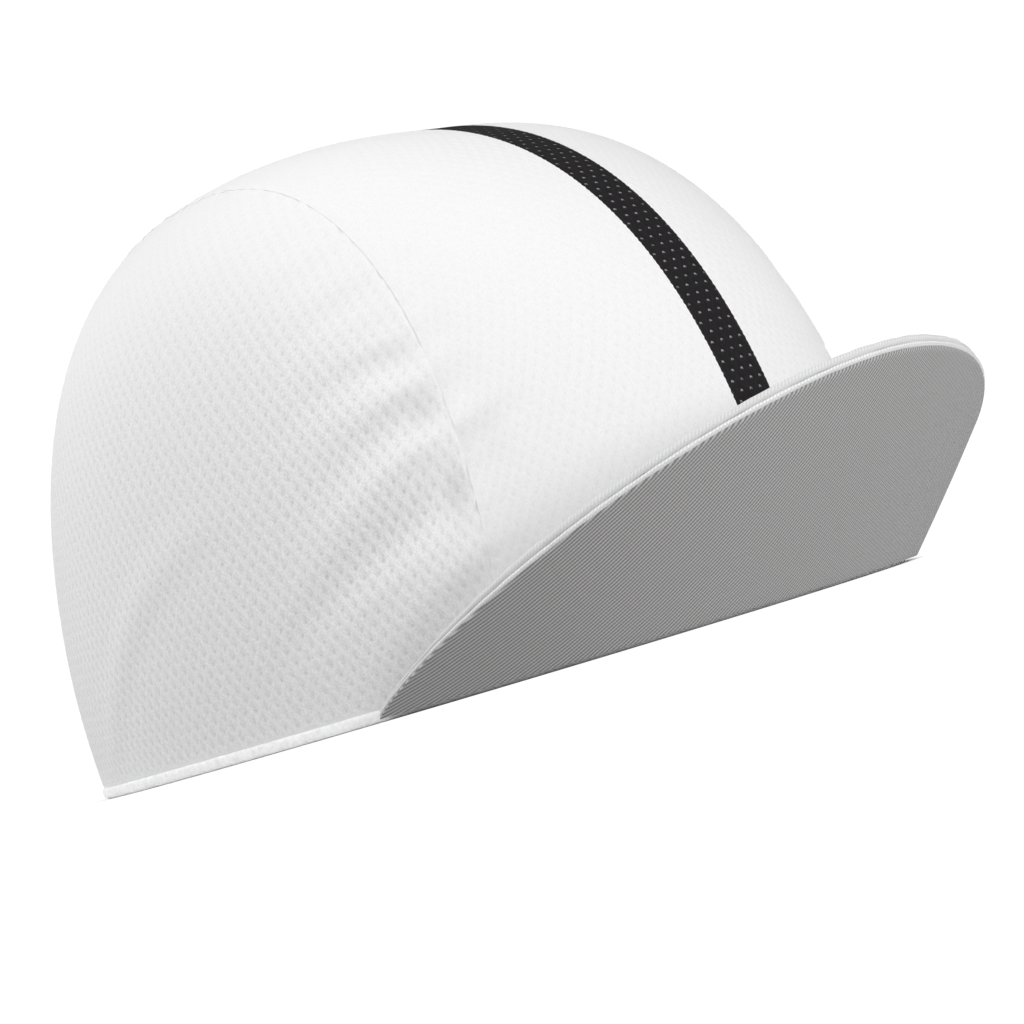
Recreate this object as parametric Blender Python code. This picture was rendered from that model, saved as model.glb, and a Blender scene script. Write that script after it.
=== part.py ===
"""Knitted cycling cap with its peak flipped up, standing on its rolled rim.

Metres, +Z up. The peak points along -Y and the wearer's right is -X. The crown is worked out
around its own centre, and at the end one empty moves the whole cap so that the origin lies under
the middle of its outer box.
"""
import math

import bmesh
import bpy
from mathutils import Vector

# Crown, outside
RIM_LENGTH = 0.196
RIM_WIDTH = 0.172
CROWN_HEIGHT = 0.1225
SIDE_TUCK = 0.0015
TUCK_HEIGHT = 0.030

# Exponents of the crown's curves: 2 is an ellipse, more is boxier
FRONT_FULLNESS = 2.25
BACK_FULLNESS = 2.9
SIDE_FULLNESS = 3.4
FRONT_TOP_FULLNESS = 2.55
BACK_TOP_FULLNESS = 2.25

# Width of the centre panel, seam to seam
PANEL_FRONT_WIDTH = 0.126
PANEL_TOP_WIDTH = 0.0915
PANEL_BACK_WIDTH = 0.102

# Cloth walls, and the gap kept between neighbours
CLOTH = 0.0012
SEAM_DIP = 0.0005
FOLD_DEPTH = 0.0030
GAP = 0.0003

# Stripe along the centre panel, let in flush
STRIPE_WIDTH = 0.0115
STRIPE_THICKNESS = 0.0004

# Rolled rim and sweatband
HEM_HEIGHT = 0.0022
HEM_PROUD = 0.0004
HEM_CORNER = 0.0005
SWEATBAND_HEIGHT = 0.022
SWEATBAND_THICKNESS = 0.0010
SWEATBAND_LEAN = 0.0018

# Peak, flipped up
PEAK_DEPTH = 0.051
PEAK_TOP_THICKNESS = 0.0014
PEAK_UNDERSIDE_THICKNESS = 0.0012
PEAK_HALF_ANGLE = math.radians(61)
PEAK_LIFT_MIDDLE = math.radians(50)
PEAK_LIFT_CORNER = math.radians(43)
PEAK_FORWARD_SHARE = 0.58
PEAK_OUTLINE_POWER = 1.85
PEAK_OUTLINE_ROUNDING = 0.82
PEAK_ROLL = 0.0006
PEAK_FLOOR_CLEARANCE = 0.0006

# Gathers and folds of a side panel.
# seam: where a fold leaves the seam, as a share of the seam from the front rim to the back rim
# drift: how far that share has moved when the fold reaches the rim
# wide_at_seam, wide_at_rim: half its width, as shares of the seam
# starts, ends: where it fades in and out, as shares of the way from the seam to the rim
# height: its height as a share of FOLD_DEPTH, below 0 for a hollow
SIDE_FOLDS = (
    # seam, drift, wide_at_seam, wide_at_rim, starts, ends, height
    (0.100, 0.10, 0.022, 0.045, 0.00, 1.00, 0.30),
    (0.150, 0.18, 0.026, 0.048, 0.00, 0.95, -0.95),
    (0.188, 0.18, 0.013, 0.040, 0.00, 0.95, 0.35),
    (0.212, 0.19, 0.016, 0.034, 0.00, 0.60, -0.75),
    (0.232, 0.22, 0.011, 0.032, 0.00, 0.42, 0.25),
    (0.252, 0.25, 0.013, 0.032, 0.00, 0.46, -0.48),
    (0.277, 0.20, 0.008, 0.020, 0.00, 0.20, -0.18),
    (0.303, 0.22, 0.013, 0.030, 0.00, 0.36, -0.26),
    (0.337, 0.20, 0.012, 0.030, 0.00, 0.28, -0.14),
    (0.367, 0.20, 0.012, 0.030, 0.00, 0.24, -0.12),
    (0.070, 0.63, 0.050, 0.050, 0.55, 1.20, 0.35),
)
FOLD_CURVE = 1.3
FOLD_START_LENGTH = 0.04
RIM_FADE = 0.008
BAND_FADE = 0.010
BAND_FADE_OVERLAP = 0.002

# Creases that cross the seam into the centre panel.
# along: place along the panel, as a share from the front rim to the back rim
# across: how far it runs from the seam, as a share of the half width of the panel
# half_width: as a share of the panel's length
# height: as a share of FOLD_DEPTH
CENTRE_CREASES = (
    # along, across, half_width, height
    (0.178, 0.32, 0.014, -0.22),
    (0.232, 0.40, 0.020, -0.12),
)

# Mesh divisions; a crowding over 1 sets the columns closer in front and the rows at the seam
SIDE_COLUMNS = 56
SIDE_COLUMN_CROWDING = 1.25
SIDE_ROWS = 10
SIDE_ROW_CROWDING = 1.4
CENTRE_ROWS = 40
CENTRE_COLUMNS_EACH_SIDE = 6
BAND_COLUMNS = 56
BAND_ROWS = 2
HEM_COLUMNS = 64
PEAK_COLUMNS = 30
PEAK_ROWS = 5
SHARP_ANGLE = math.radians(40)

# Colour and roughness of each finish
FINISHES = {
    "white_knit": ((0.86, 0.86, 0.86), 0.9),
    "black_stripe": ((0.015, 0.014, 0.015), 0.85),
    "peak_cover": ((0.88, 0.88, 0.88), 0.85),
    "peak_twill": ((0.62, 0.62, 0.62), 0.8),
    "band_jersey": ((0.66, 0.66, 0.66), 0.9),
    "rolled_hem": ((0.84, 0.84, 0.84), 0.9),
}

# Steps of the searches and slopes below
HALVINGS = 44
DOME_STEP = 1e-6
PEAK_STEP_SHARE = 0.002
PEAK_CORNER_SHARE = 0.97
PEAK_ROOT_SHARE = 0.05

# Sizes worked out from those above
HALF_LENGTH = RIM_LENGTH / 2
RIM_HALF_WIDTH = RIM_WIDTH / 2
BELLY_HALF_WIDTH = RIM_HALF_WIDTH + SIDE_TUCK
DOME_BASE = HEM_HEIGHT + GAP
DOME_HEIGHT = CROWN_HEIGHT - DOME_BASE
GROOVE_DEPTH = STRIPE_THICKNESS + GAP
SMALL = 1e-5


def smooth(share):
    """Soft step from 0 to 1."""
    share = min(1.0, max(0.0, share))
    return share * share * (3 - 2 * share)


def bump(offset):
    """Soft hump: 1 at 0, down to 0 at -1 and 1."""
    return math.cos(offset * math.pi / 2) ** 2 if abs(offset) < 1 else 0.0


def mix(first, second, share):
    return first + (second - first) * share


def dome_value(x, y, z):
    """Below 1 inside the plain dome and above 1 outside it; z counts from the dome's base."""
    along = abs(y) / HALF_LENGTH
    across = abs(x) / BELLY_HALF_WIDTH
    reach = math.hypot(along, across)
    lengthways = along / reach if reach > 0 else 0.0
    end_fullness = FRONT_FULLNESS if y < 0 else BACK_FULLNESS
    fullness = mix(SIDE_FULLNESS, end_fullness, lengthways ** 2)
    backward = 0.5 + math.copysign(lengthways, y) / 2
    top_fullness = mix(FRONT_TOP_FULLNESS, BACK_TOP_FULLNESS, backward)
    return reach ** fullness + (max(z, 0.0) / DOME_HEIGHT) ** top_fullness


def find_edge(value_at):
    """Length at which a rising function passes 1."""
    low, high = 0.0, 4 * RIM_LENGTH
    for _ in range(HALVINGS):
        middle = (low + high) / 2
        if value_at(middle) < 1:
            low = middle
        else:
            high = middle
    return low


def on_dome(direction):
    """Where a ray from the middle of the dome's base meets the dome."""
    ray = direction.normalized()
    return ray * find_edge(lambda length: dome_value(*(ray * length)))


def dome_normal(point):
    """Unit vector that points out of the dome."""
    slope = Vector((0, 0, 0))
    for axis in range(3):
        ahead, behind = point.copy(), point.copy()
        ahead[axis] += DOME_STEP
        behind[axis] -= DOME_STEP
        slope[axis] = dome_value(*ahead) - dome_value(*behind)
    if point.z < SMALL:
        slope.z = 0
    return slope.normalized()


def placed(point, outward):
    """Dome point moved outward along its normal, tucked in at the sides and set above the hem."""
    moved = point + dome_normal(point) * outward
    tuck = max(0.0, 1 - point.z / TUCK_HEIGHT) ** 2 * SIDE_TUCK / BELLY_HALF_WIDTH
    return Vector((moved.x * (1 - tuck), moved.y, moved.z + DOME_BASE))


def seam_offset(y, z):
    """Distance of the seam from the cap's middle plane."""
    at_rim = (PANEL_FRONT_WIDTH + PANEL_BACK_WIDTH) / 4
    lean = (PANEL_BACK_WIDTH - PANEL_FRONT_WIDTH) / 4 / HALF_LENGTH
    return at_rim + lean * y + (PANEL_TOP_WIDTH / 2 - at_rim) * z / DOME_HEIGHT


def arch_point(along, offset_at):
    """Dome point on the arch that runs front to back at a sideways offset."""
    angle = math.pi * along

    def corner(length):
        y = -length * math.cos(angle)
        z = length * max(0.0, math.sin(angle))
        return Vector((offset_at(y, z), y, z))

    return corner(find_edge(lambda length: dome_value(*corner(length))))


def seam_point(along):
    return arch_point(along, lambda y, z: seam_offset(y, z) + GAP / 2)


def side_relief(along, down, height):
    """Height of the gathers and folds of a side panel over the plain dome."""
    total = 0.0
    for seam, drift, wide_at_seam, wide_at_rim, starts, ends, share in SIDE_FOLDS:
        middle = seam + drift * down ** FOLD_CURVE
        width = mix(wide_at_seam, wide_at_rim, down)
        fade_in = smooth((down - starts) / FOLD_START_LENGTH)
        fade_out = 1 - smooth((down - starts) / (ends - starts))
        total += share * FOLD_DEPTH * bump((along - middle) / width) * fade_in * fade_out
    if total < 0:
        total *= smooth((height - SWEATBAND_HEIGHT + BAND_FADE_OVERLAP) / BAND_FADE)
    total *= smooth(height / RIM_FADE)
    return total - SEAM_DIP * max(0.0, 1 - down / FOLD_START_LENGTH / 2) ** 2


def centre_relief(along, across):
    """Depth of the creases that run over the seam into the centre panel."""
    total = 0.0
    for place, reach, half_width, share in CENTRE_CREASES:
        fade = smooth((abs(across) - (1 - reach)) / reach)
        total += share * FOLD_DEPTH * bump((along - place) / half_width) * fade
    return total


def add_body(name, outer, inner, material, closed=False):
    """Closed body between two matching grids of points; closed joins each row's ends."""
    shape = bmesh.new()
    skins = []
    for grid in (outer, inner):
        skins.append([[shape.verts.new(point) for point in row] for row in grid])
    rows, columns = len(outer), len(outer[0])
    spans = columns if closed else columns - 1
    for row in range(rows - 1):
        for column in range(spans):
            after = (column + 1) % columns
            for skin in skins:
                low, high = skin[row], skin[row + 1]
                shape.faces.new((low[column], low[after], high[after], high[column]))
    for row in (0, rows - 1):
        for column in range(spans):
            after = (column + 1) % columns
            shape.faces.new([skins[0][row][column], skins[0][row][after],
                             skins[1][row][after], skins[1][row][column]])
    for column in () if closed else (0, columns - 1):
        for row in range(rows - 1):
            shape.faces.new([skins[0][row][column], skins[0][row + 1][column],
                             skins[1][row + 1][column], skins[1][row][column]])
    bmesh.ops.remove_doubles(shape, verts=shape.verts, dist=SMALL)
    bmesh.ops.triangulate(shape, faces=shape.faces, quad_method="SHORT_EDGE")
    bmesh.ops.recalc_face_normals(shape, faces=shape.faces)
    return add_object(name, shape, material)


def add_object(name, shape, material):
    if shape.calc_volume(signed=True) < 0:
        bmesh.ops.reverse_faces(shape, faces=shape.faces)
    mesh = bpy.data.meshes.new(name)
    shape.to_mesh(mesh)
    shape.free()
    mesh.materials.append(material)
    mesh.shade_smooth()
    mesh.set_sharp_from_angle(angle=SHARP_ANGLE)
    item = bpy.data.objects.new(name, mesh)
    bpy.context.collection.objects.link(item)
    return item


def add_material(name):
    colour, roughness = FINISHES[name]
    material = bpy.data.materials.new(name)
    material.use_nodes = True
    shader = material.node_tree.nodes["Principled BSDF"]
    shader.inputs["Base Color"].default_value = (*colour, 1)
    shader.inputs["Roughness"].default_value = roughness
    shader.inputs["Metallic"].default_value = 0
    return material


def side_columns():
    """Shares along the seam, closer together in front, where the gathers are."""
    return [(column / SIDE_COLUMNS) ** SIDE_COLUMN_CROWDING for column in range(SIDE_COLUMNS + 1)]


def add_side_panels(material):
    """Left panel from its points, and the right one as its mirror."""
    front, back = seam_point(0), seam_point(1)
    front_angle = math.asin(front.y / HALF_LENGTH)
    back_angle = math.asin(back.y / HALF_LENGTH)
    down_shares = [(row / SIDE_ROWS) ** SIDE_ROW_CROWDING for row in range(SIDE_ROWS + 1)]
    outer = [[] for _ in down_shares]
    inner = [[] for _ in down_shares]
    for along in side_columns():
        angle = mix(front_angle, back_angle, along)
        rim = Vector((BELLY_HALF_WIDTH * math.cos(angle), HALF_LENGTH * math.sin(angle), 0))
        seam = seam_point(along)
        for row, down in enumerate(down_shares):
            point = on_dome(seam.lerp(rim, down))
            relief = side_relief(along, down, point.z)
            outer[row].append(placed(point, relief))
            inner[row].append(placed(point, relief - CLOTH))
    left = add_body("side_panel_left", outer, inner, material)
    mirrored = bmesh.new()
    mirrored.from_mesh(left.data)
    bmesh.ops.scale(mirrored, vec=(-1, 1, 1), verts=mirrored.verts)
    bmesh.ops.reverse_faces(mirrored, faces=mirrored.faces)
    return [left, add_object("side_panel_right", mirrored, material)]


def centre_columns():
    """Columns of the centre panel: share across, sideways offset function and depth."""
    groove = STRIPE_WIDTH / 2 + GAP
    columns = []
    for step in range(CENTRE_COLUMNS_EACH_SIDE + 1):
        share = step / CENTRE_COLUMNS_EACH_SIDE

        def offset_at(y, z, share=share):
            return mix(groove, seam_offset(y, z) - GAP / 2, share)

        columns.append((share, offset_at, 0.0))
    bottom = [(0.0, lambda y, z: groove, GROOVE_DEPTH), (0.0, lambda y, z: 0.0, GROOVE_DEPTH)]
    half = columns[::-1] + bottom
    other = [(-share, lambda y, z, offset_at=offset_at: -offset_at(y, z), depth)
             for share, offset_at, depth in half[-2::-1]]
    return half + other


def add_centre_panel(material):
    outer, inner = [], []
    columns = centre_columns()
    for row in range(CENTRE_ROWS + 1):
        along = row / CENTRE_ROWS
        outer_row, inner_row = [], []
        for across, offset_at, depth in columns:
            point = arch_point(along, offset_at)
            relief = centre_relief(along, across)
            outer_row.append(placed(point, relief - depth))
            inner_row.append(placed(point, relief - CLOTH))
        outer.append(outer_row)
        inner.append(inner_row)
    return add_body("centre_panel", outer, inner, material)


def add_centre_stripe(material):
    outer, inner = [], []
    for row in range(CENTRE_ROWS + 1):
        outer_row, inner_row = [], []
        for side in (-1, 0, 1):
            point = arch_point(row / CENTRE_ROWS, lambda y, z: side * STRIPE_WIDTH / 2)
            outer_row.append(placed(point, 0))
            inner_row.append(placed(point, -STRIPE_THICKNESS))
        outer.append(outer_row)
        inner.append(inner_row)
    return add_body("centre_stripe", outer, inner, material)


def rim_outline(angle, outward):
    """Point of the rim, moved outward; angle 0 is the front."""
    middle = Vector((RIM_HALF_WIDTH * math.sin(angle), -HALF_LENGTH * math.cos(angle), 0))
    normal = Vector((HALF_LENGTH * math.sin(angle), -RIM_HALF_WIDTH * math.cos(angle), 0))
    return middle + normal.normalized() * outward


def add_rim_hem(material):
    """Rolled hem under the crown wall and the sweatband, flat where it rests."""
    inside = -(CLOTH + GAP + SWEATBAND_THICKNESS + HEM_PROUD)
    corner = HEM_CORNER
    section = (
        (HEM_PROUD - corner, 0), (HEM_PROUD, corner),
        (HEM_PROUD, HEM_HEIGHT - corner), (HEM_PROUD - corner, HEM_HEIGHT),
        (inside + corner, HEM_HEIGHT), (inside, HEM_HEIGHT - corner),
        (inside, corner), (inside + corner, 0),
    )
    shape = bmesh.new()
    rings = []
    for column in range(HEM_COLUMNS):
        angle = 2 * math.pi * column / HEM_COLUMNS
        ring = [shape.verts.new(rim_outline(angle, outward) + Vector((0, 0, height)))
                for outward, height in section]
        rings.append(ring)
    for column, ring in enumerate(rings):
        ahead = rings[(column + 1) % HEM_COLUMNS]
        for place in range(len(section)):
            after = (place + 1) % len(section)
            shape.faces.new((ring[place], ring[after], ahead[after], ahead[place]))
    bmesh.ops.recalc_face_normals(shape, faces=shape.faces)
    return add_object("rim_hem", shape, material)


def add_sweatband(material):
    """Band that stands on the hem just inside the crown wall and leans in at its free top."""
    outer, inner = [], []
    for row in range(BAND_ROWS + 1):
        height = SWEATBAND_HEIGHT * row / BAND_ROWS
        outside = -(CLOTH + GAP + SWEATBAND_LEAN * row / BAND_ROWS)
        outer_row, inner_row = [], []
        for column in range(BAND_COLUMNS):
            angle = 2 * math.pi * column / BAND_COLUMNS
            plan = Vector((math.sin(angle) * BELLY_HALF_WIDTH, -math.cos(angle) * HALF_LENGTH, 0))
            plan.normalize()
            reach = find_edge(lambda length: dome_value(plan.x * length, plan.y * length, height))
            point = Vector((plan.x * reach, plan.y * reach, height))
            outer_row.append(level(placed(point, outside), height))
            inner_row.append(level(placed(point, outside - SWEATBAND_THICKNESS), height))
        outer.append(outer_row)
        inner.append(inner_row)
    return add_body("sweatband", outer, inner, material, closed=True)


def level(point, height):
    """The same point at an exact height over the dome's base."""
    return Vector((point.x, point.y, DOME_BASE + height))


def peak_sheet(angle_share, depth_share, longer):
    """Point of the peak's middle sheet, from its root on the rim to its edge."""
    angle = angle_share * PEAK_HALF_ANGLE
    lift = mix(PEAK_LIFT_MIDDLE, PEAK_LIFT_CORNER, angle_share ** 2)
    top_reach = (PEAK_TOP_THICKNESS + GAP / 2) * math.sin(lift)
    underside_drop = (PEAK_UNDERSIDE_THICKNESS + GAP / 2) * math.cos(lift)
    root = rim_outline(angle, HEM_PROUD + GAP + top_reach)
    root.z = PEAK_FLOOR_CLEARANCE + underside_drop
    straight_out = rim_outline(angle, 1.0) - rim_outline(angle, 0.0)
    outward = straight_out.lerp(Vector((0, -1, 0)), PEAK_FORWARD_SHARE).normalized()
    direction = outward * math.cos(lift) + Vector((0, 0, math.sin(lift)))
    outline = (1 - min(1.0, abs(angle_share)) ** PEAK_OUTLINE_POWER) ** PEAK_OUTLINE_ROUNDING
    depth = PEAK_DEPTH * outline
    if outline > 0:
        depth += longer
    return root + direction * depth * depth_share


def peak_normal(angle_share, depth_share):
    """Unit vector from the underside to the top cover."""
    share = min(PEAK_CORNER_SHARE, max(-PEAK_CORNER_SHARE, angle_share))
    depth_share = max(PEAK_ROOT_SHARE, depth_share)
    sideways = (peak_sheet(share + PEAK_STEP_SHARE, depth_share, 0)
                - peak_sheet(share - PEAK_STEP_SHARE, depth_share, 0))
    out = peak_sheet(share, depth_share, 0) - peak_sheet(share, 0, 0)
    normal = sideways.cross(out).normalized()
    return normal if normal.z > 0 else -normal


def add_peak_cover(name, near, far, longer, material):
    """One cover of the peak, between two heights over the middle sheet."""
    outer, inner = [], []
    for row in range(PEAK_ROWS + 1):
        depth_share = row / PEAK_ROWS
        outer_row, inner_row = [], []
        for column in range(PEAK_COLUMNS + 1):
            angle_share = math.sin(math.pi / 2 * mix(-1, 1, column / PEAK_COLUMNS))
            sheet = peak_sheet(angle_share, depth_share, longer)
            normal = peak_normal(angle_share, depth_share)
            outer_row.append(sheet + normal * far)
            inner_row.append(sheet + normal * near)
        outer.append(outer_row)
        inner.append(inner_row)
    return add_body(name, outer, inner, material)


def main():
    for item in list(bpy.data.objects):
        bpy.data.objects.remove(item, do_unlink=True)
    knit = add_material("white_knit")
    pieces = add_side_panels(knit)
    pieces.append(add_centre_panel(knit))
    pieces.append(add_centre_stripe(add_material("black_stripe")))
    pieces.append(add_rim_hem(add_material("rolled_hem")))
    pieces.append(add_sweatband(add_material("band_jersey")))
    half_gap = GAP / 2
    pieces.append(add_peak_cover("peak_top", half_gap, half_gap + PEAK_TOP_THICKNESS,
                                 PEAK_ROLL, add_material("peak_cover")))
    pieces.append(add_peak_cover("peak_underside", -half_gap,
                                 -half_gap - PEAK_UNDERSIDE_THICKNESS, 0,
                                 add_material("peak_twill")))

    reach = [vertex.co.y for piece in pieces for vertex in piece.data.vertices]
    middle = bpy.data.objects.new("cap", None)
    middle.location.y = -(min(reach) + max(reach)) / 2
    bpy.context.collection.objects.link(middle)
    for piece in pieces:
        piece.parent = middle


main()
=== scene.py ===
"""Looks of a white knitted cycling cap that stands on its rim with its peak flipped up.

Metres, +Z up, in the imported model's frame. The peak points along -Y and the wearer's right is -X.
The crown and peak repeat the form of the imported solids, and knit, puckers, rolled edges and
stitches are added over it.
"""
import math

import bmesh
import bpy
import numpy as np
from mathutils import Matrix, Vector


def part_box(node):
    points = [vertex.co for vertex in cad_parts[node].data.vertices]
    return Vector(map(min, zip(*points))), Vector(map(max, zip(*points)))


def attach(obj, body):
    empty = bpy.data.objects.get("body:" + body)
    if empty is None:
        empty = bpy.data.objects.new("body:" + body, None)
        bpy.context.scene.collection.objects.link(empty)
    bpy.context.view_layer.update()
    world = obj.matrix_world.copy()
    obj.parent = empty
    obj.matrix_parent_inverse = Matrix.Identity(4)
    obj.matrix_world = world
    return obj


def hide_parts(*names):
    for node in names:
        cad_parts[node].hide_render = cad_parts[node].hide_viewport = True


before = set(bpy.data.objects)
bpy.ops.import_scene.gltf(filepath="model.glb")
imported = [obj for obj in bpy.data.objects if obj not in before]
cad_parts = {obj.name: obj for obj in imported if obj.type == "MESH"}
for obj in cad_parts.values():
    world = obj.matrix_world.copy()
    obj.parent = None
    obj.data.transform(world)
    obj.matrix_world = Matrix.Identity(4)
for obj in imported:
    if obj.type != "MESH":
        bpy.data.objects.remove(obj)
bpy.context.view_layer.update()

MM = 0.001

# Crown sizes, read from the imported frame
HEM_PROUD = 0.0004
HEM_LOW, HEM_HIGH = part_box("rim_hem")
HEM_HEIGHT = HEM_HIGH.z
HALF_LENGTH = (HEM_HIGH.y - HEM_LOW.y) / 2 - HEM_PROUD
RIM_HALF_WIDTH = (HEM_HIGH.x - HEM_LOW.x) / 2 - HEM_PROUD
MIDDLE_Y = (HEM_HIGH.y + HEM_LOW.y) / 2
CROWN_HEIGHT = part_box("centre_panel")[1].z

# Form of the crown, as in the solids
GAP = 0.0003
SIDE_TUCK = 0.0015
TUCK_HEIGHT = 0.030
FRONT_FULLNESS = 2.25
BACK_FULLNESS = 2.9
SIDE_FULLNESS = 3.4
FRONT_TOP_FULLNESS = 2.55
BACK_TOP_FULLNESS = 2.25
PANEL_FRONT_WIDTH = 0.126
PANEL_TOP_WIDTH = 0.0915
PANEL_BACK_WIDTH = 0.102
CLOTH = 0.0012
FOLD_DEPTH = 0.0030
STRIPE_WIDTH = 0.0115
STRIPE_THICKNESS = 0.0004
BAND_HEIGHT = 0.022
BAND_THICKNESS = 0.0010
BAND_LEAN = 0.0018
BELLY_HALF_WIDTH = RIM_HALF_WIDTH + SIDE_TUCK
DOME_BASE = HEM_HEIGHT + GAP
DOME_HEIGHT = CROWN_HEIGHT - DOME_BASE

# Peak, flipped up, as in the solids
PEAK_DEPTH = 0.051
TOP_THICKNESS = 0.0014
UNDERSIDE_THICKNESS = 0.0012
PEAK_HALF_ANGLE = math.radians(61)
PEAK_LIFT_MIDDLE = math.radians(50)
PEAK_LIFT_CORNER = math.radians(43)
PEAK_FORWARD_SHARE = 0.58
PEAK_OUTLINE_POWER = 1.85
PEAK_OUTLINE_ROUNDING = 0.82
PEAK_FLOOR_CLEARANCE = 0.0006

# Gathers and folds of a side panel.
# seam: where a fold leaves the seam, as a share of the seam from the front rim to the back rim
# drift: how far that share has moved when the fold reaches the rim
# curve: power of its way down that the drift follows
# wide_at_seam, wide_at_rim: half its width, as shares of the seam
# starts, ends: where it fades in and out, as shares of the way from the seam to the rim
# height: its height as a share of FOLD_DEPTH, below 0 for a hollow
SIDE_FOLDS = (
    # seam, drift, curve, wide_at_seam, wide_at_rim, starts, ends, height
    (0.108, 0.10, 1.3, 0.022, 0.045, 0.00, 1.00, 0.30),
    (0.163, 0.20, 1.9, 0.026, 0.048, 0.00, 0.98, -0.98),
    (0.193, 0.16, 1.2, 0.013, 0.040, 0.00, 0.95, 0.48),
    (0.216, 0.19, 1.3, 0.017, 0.036, 0.00, 0.66, -0.90),
    (0.233, 0.22, 1.3, 0.011, 0.032, 0.00, 0.46, 0.34),
    (0.252, 0.25, 1.3, 0.014, 0.034, 0.00, 0.52, -0.68),
    (0.277, 0.20, 1.3, 0.008, 0.022, 0.00, 0.22, -0.24),
    (0.303, 0.22, 1.3, 0.013, 0.030, 0.00, 0.38, -0.44),
    (0.337, 0.20, 1.3, 0.012, 0.030, 0.00, 0.30, -0.32),
    (0.367, 0.20, 1.3, 0.012, 0.030, 0.00, 0.26, -0.26),
    (0.070, 0.63, 1.3, 0.050, 0.050, 0.55, 1.20, 0.25),
)
FOLD_START_LENGTH = 0.20
FOLD_SHARE_AT_SEAM = 0.32
FOLD_REACH_PAST_SEAM = 0.012
RIM_FADE = 0.008

# Creases that cross the seam into the centre panel: place along it and half width as shares of
# its length, reach as a share of its half width, height as a share of FOLD_DEPTH
CENTRE_CREASES = (
    # along, across, half_width, height
    (0.178, 0.32, 0.014, -0.30),
    (0.232, 0.40, 0.020, -0.12),
)

# Seam between a side panel and the centre panel, whose edge stands proud as a lap over it
SEAM_GAP = 0.00001
SIDE_SEAM_DIP = 0.00008
SIDE_SEAM_DIP_LENGTH = 0.0016
LAP_PROUD = 0.00020
LAP_PROUD_BACK = 0.0008
LAP_PROUD_LENGTH = 0.0060
LAP_RISE_START = 0.50
LAP_RISE_LENGTH = 0.15
LAP_ROUND = 0.0010
LAP_DROP = 0.00014

# Puckers that the seam pulls into the cloth: a main wave that drifts, and a second one
PUCKER_HEIGHT = 0.00016
PUCKER_LENGTH = 0.009
PUCKER_SPACING = 0.0052
PUCKER_DRIFT = 1.3
PUCKER_DRIFT_TURNS = 0.37
PUCKER_SECOND = 0.5
PUCKER_SECOND_TURNS = 0.61
PUCKER_UNEVEN = 0.35
PUCKER_UNEVEN_LENGTH = 0.0137
PUCKER_SIDE_SHIFT = 0.0021
CENTRE_PUCKER_SHARE = 0.6

# Knit: pits in rows, each row set off by half a pit
PIT_SPACING = 0.0029
SIDE_ROW_SPACING = 0.0023
CENTRE_ROW_SPACING = 0.00225
PIT_RELIEF = 0.00012
PIT_SHARPNESS = 3
PIT_EDGE_FADE = 0.0012
# Strength of the painted shade in the pits and hollows: fainter on the centre panel, near the seam
# and, by the UPWARD_PIT numbers, on parts that face up
CENTRE_PIT_SHARE = 0.26
SEAM_PIT_SHARE = 0.45
SEAM_PIT_REACH = 0.035
UPWARD_PIT_SHARE = 0.3
UPWARD_PIT_START = 0.05
UPWARD_PIT_RANGE = 0.6

# Waves that the rows of the knit wander in: share of KNIT_WANDER, lengths along u and along v
KNIT_WANDER = 0.00022
WANDER_IN_U = ((1.0, 0.0173, 0.0091), (0.6, 0.0047, -0.0061))
WANDER_IN_V = ((1.0, 0.0083, -0.0203), (0.6, 0.0069, 0.0053))

# Teeth of the stripe's edge
STRIPE_TOOTH = 0.00012
TOOTH_UNEVEN = 0.4
TOOTH_TURNS = 0.53

# The crown's lower edge turns in over the hem
RIM_TURN = 0.00012
RIM_TURN_LENGTH = 0.0008

# Rolled hem: a rounded section that the stitching pulls in unevenly
HEM_ROUNDING = 0.7
HEM_OVERLAP = 0.00015
HEM_PULL = 0.00006
HEM_PULL_LENGTH = 0.00061
HEM_SECOND_PULL = 0.7
HEM_SECOND_LENGTH = 0.00143
HEM_UNEVEN = 0.3
HEM_UNEVEN_LENGTH = 0.011

# Stitches that hold the hem; STITCH_HEIGHT is above the crown's lower edge
STITCH_PITCH = 0.0026
STITCH_SHARE = 0.8
STITCH_RADIUS = 0.00022
STITCH_HEIGHT = 0.0012
STITCH_TIP = 0.02

# Free edge of the sweatband
BAND_WAVE = 0.0003
BAND_WAVES = 7

# Covers of the peak and their rolled edges. A roll has its height over the middle sheet, its
# overhang, its radius and the share of these that is left at the corners.
PEAK_PADDING = 0.0004
TOP_ROLL = (0.0008, 0.0003, 0.0009, 0.28)
UNDERSIDE_ROLL = (-0.0006, 0.0, 0.0005, 0.6)
ROLL_SLIM_LENGTH = 0.055
ROLL_TIP = 0.0001
ROLL_UNEVEN = ((0.05, 0.0031, 0), (0.04, 0.0011, 1))

# Mesh divisions; an inner skin has one step for each COARSE steps of the outer one
COARSE = 4
SIDE_COLUMNS = 440
SIDE_ROWS = 192
SIDE_COLUMN_CROWDING = 1.12
CENTRE_ROWS = 560
CENTRE_HALF_COLUMNS = 72
STRIPE_COLUMNS = 24
PEAK_COLUMNS = 240
PEAK_ROWS = 64
PEAK_ROW_CROWDING = 1.35
HEM_COLUMNS = 720
HEM_SIDES = 28
STITCH_POINTS = 9
STITCH_SIDES = 6
BAND_COLUMNS = 360
BAND_ROWS = 24
ROLL_POINTS = 361
ROLL_SIDES = 14
CONTOUR_POINTS = 400

# Steps and limits of the sums
HALVINGS = 40
FAR_OUT = 8 * HALF_LENGTH
SLOPE_STEP = 1e-6
PEAK_STEP = 0.002
PEAK_CORNER_LIMIT = 0.97
PEAK_ROOT_LIMIT = 0.05
ROLL_END_LIMIT = 0.999
MERGE = 2e-6
SHARP_ANGLE = math.radians(55)


# Curves and steps that work on numbers and on arrays

def smooth(share):
    share = np.clip(share, 0.0, 1.0)
    return share * share * (3 - 2 * share)


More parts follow.
